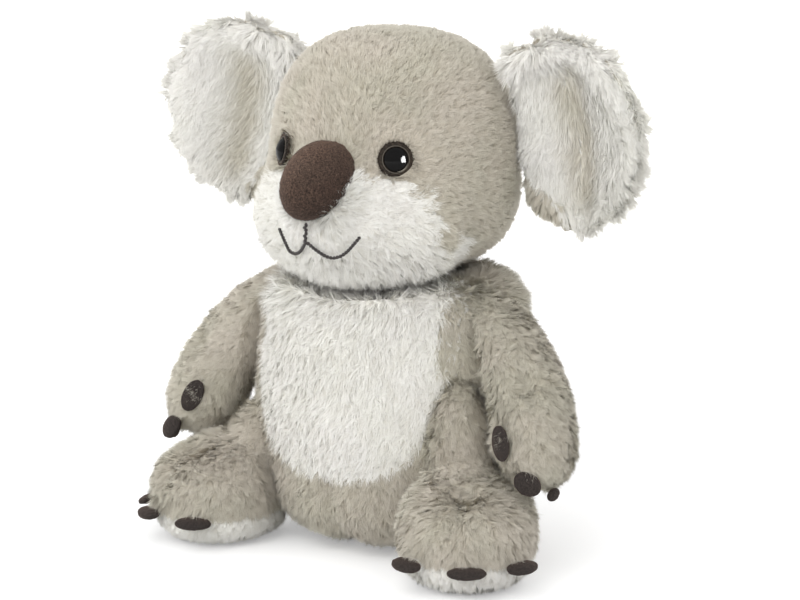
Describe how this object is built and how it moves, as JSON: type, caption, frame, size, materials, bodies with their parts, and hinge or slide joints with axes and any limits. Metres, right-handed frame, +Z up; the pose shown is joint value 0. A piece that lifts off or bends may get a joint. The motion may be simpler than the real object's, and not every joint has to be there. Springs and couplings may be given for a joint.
{
  "type": "plush koala",
  "caption": "Sitting plush koala with large round ears, oval suede nose, white muzzle and belly, suede claws, and a head, ears, arms and legs that move.",
  "frame": {"origin": "the floor under the middle of the seat, where the body rests", "axes": "+Z up, +X towards the koala's own left, -Y the way it faces"},
  "size_m": [0.2734, 0.1479, 0.2505],
  "materials": {
    "taupe_fur": "long clumped grey-brown pile",
    "white_fur": "long soft white pile",
    "wadding": "loose polyester fibre",
    "pouch_fabric": "plain woven cotton",
    "brown_felt": "matte brushed felt",
    "brown_suede": "short-napped synthetic suede",
    "claw_suede": "short-napped synthetic suede",
    "dark_thread": "twisted embroidery thread",
    "black_plastic": "polished",
    "washer_plastic": "moulded"
  },
  "bodies": {
    "torso": {"belly_panel": "white_fur", "seat_pouch": "pouch_fabric", "torso_cover": "taupe_fur", "torso_stuffing": "wadding"},
    "neck": {"neck_seam_ring": "dark_thread"},
    "head": {"eye_left": "black_plastic", "eye_right": "black_plastic", "eye_rim_left": "brown_felt", "eye_rim_right": "brown_felt", "eye_washer_left": "washer_plastic", "eye_washer_right": "washer_plastic", "head_cover": "taupe_fur", "head_stuffing": "wadding", "mouth_stitch": "dark_thread", "muzzle_panel": "white_fur", "nose": "brown_suede", "philtrum_stitch": "dark_thread"},
    "ear_left": {"ear_back_left": "taupe_fur", "ear_front_left": "white_fur", "ear_wadding_left": "wadding"},
    "ear_right": {"ear_back_right": "taupe_fur", "ear_front_right": "white_fur", "ear_wadding_right": "wadding"},
    "arm_left": {"arm_cover_left": "taupe_fur", "arm_stuffing_left": "wadding", "hand_claw_inner_left": "claw_suede", "hand_claw_middle_left": "claw_suede", "hand_claw_outer_left": "claw_suede"},
    "arm_right": {"arm_cover_right": "taupe_fur", "arm_stuffing_right": "wadding", "hand_claw_inner_right": "claw_suede", "hand_claw_middle_right": "claw_suede", "hand_claw_outer_right": "claw_suede"},
    "leg_left": {"foot_claw_inner_left": "claw_suede", "foot_claw_middle_left": "claw_suede", "foot_claw_outer_left": "claw_suede", "leg_cover_left": "taupe_fur", "leg_stuffing_left": "wadding", "sole_left": "white_fur"},
    "leg_right": {"foot_claw_inner_right": "claw_suede", "foot_claw_middle_right": "claw_suede", "foot_claw_outer_right": "claw_suede", "leg_cover_right": "taupe_fur", "leg_stuffing_right": "wadding", "sole_right": "white_fur"}
  },
  "joints": [
    {"name": "head_turn", "type": "hinge", "parent": "torso", "child": "neck", "pos_m": [0, -0.00522, 0.09], "axis": [0, 0, 1], "range_deg": [-20, 20], "stiffness_Nm_per_rad": 0.2},
    {"name": "head_nod", "type": "hinge", "parent": "neck", "child": "head", "pos_m": [0, -0.00522, 0.09], "axis": [1, 0, 0], "range_deg": [-6, 5], "stiffness_Nm_per_rad": 1.5},
    {"name": "ear_fold_left", "type": "hinge", "parent": "head", "child": "ear_left", "pos_m": [0.06189, 0.00808, 0.19563], "axis": [-0.1856, -0.0795, 0.9794], "range_deg": [-20, 20], "stiffness_Nm_per_rad": 0.05},
    {"name": "ear_fold_right", "type": "hinge", "parent": "head", "child": "ear_right", "pos_m": [-0.06189, 0.00808, 0.19563], "axis": [0.1856, -0.0795, 0.9794], "range_deg": [-20, 20], "stiffness_Nm_per_rad": 0.05},
    {"name": "arm_swing_left", "type": "hinge", "parent": "torso", "child": "arm_left", "pos_m": [0.04615, -0.0116, 0.11592], "axis": [-1, 0, 0], "range_deg": [0, 45], "stiffness_Nm_per_rad": 0.1},
    {"name": "arm_swing_right", "type": "hinge", "parent": "torso", "child": "arm_right", "pos_m": [-0.04615, -0.0116, 0.11592], "axis": [-1, 0, 0], "range_deg": [0, 45], "stiffness_Nm_per_rad": 0.1},
    {"name": "leg_lift_left", "type": "hinge", "parent": "torso", "child": "leg_left", "pos_m": [0.04686, -0.03348, 0.07298], "axis": [-0.8572, -0.515, 0], "range_deg": [0, 8], "stiffness_Nm_per_rad": 0.2},
    {"name": "leg_lift_right", "type": "hinge", "parent": "torso", "child": "leg_right", "pos_m": [-0.04686, -0.03348, 0.05248], "axis": [-0.8572, 0.515, 0], "range_deg": [0, 8], "stiffness_Nm_per_rad": 0.2}
  ]
}
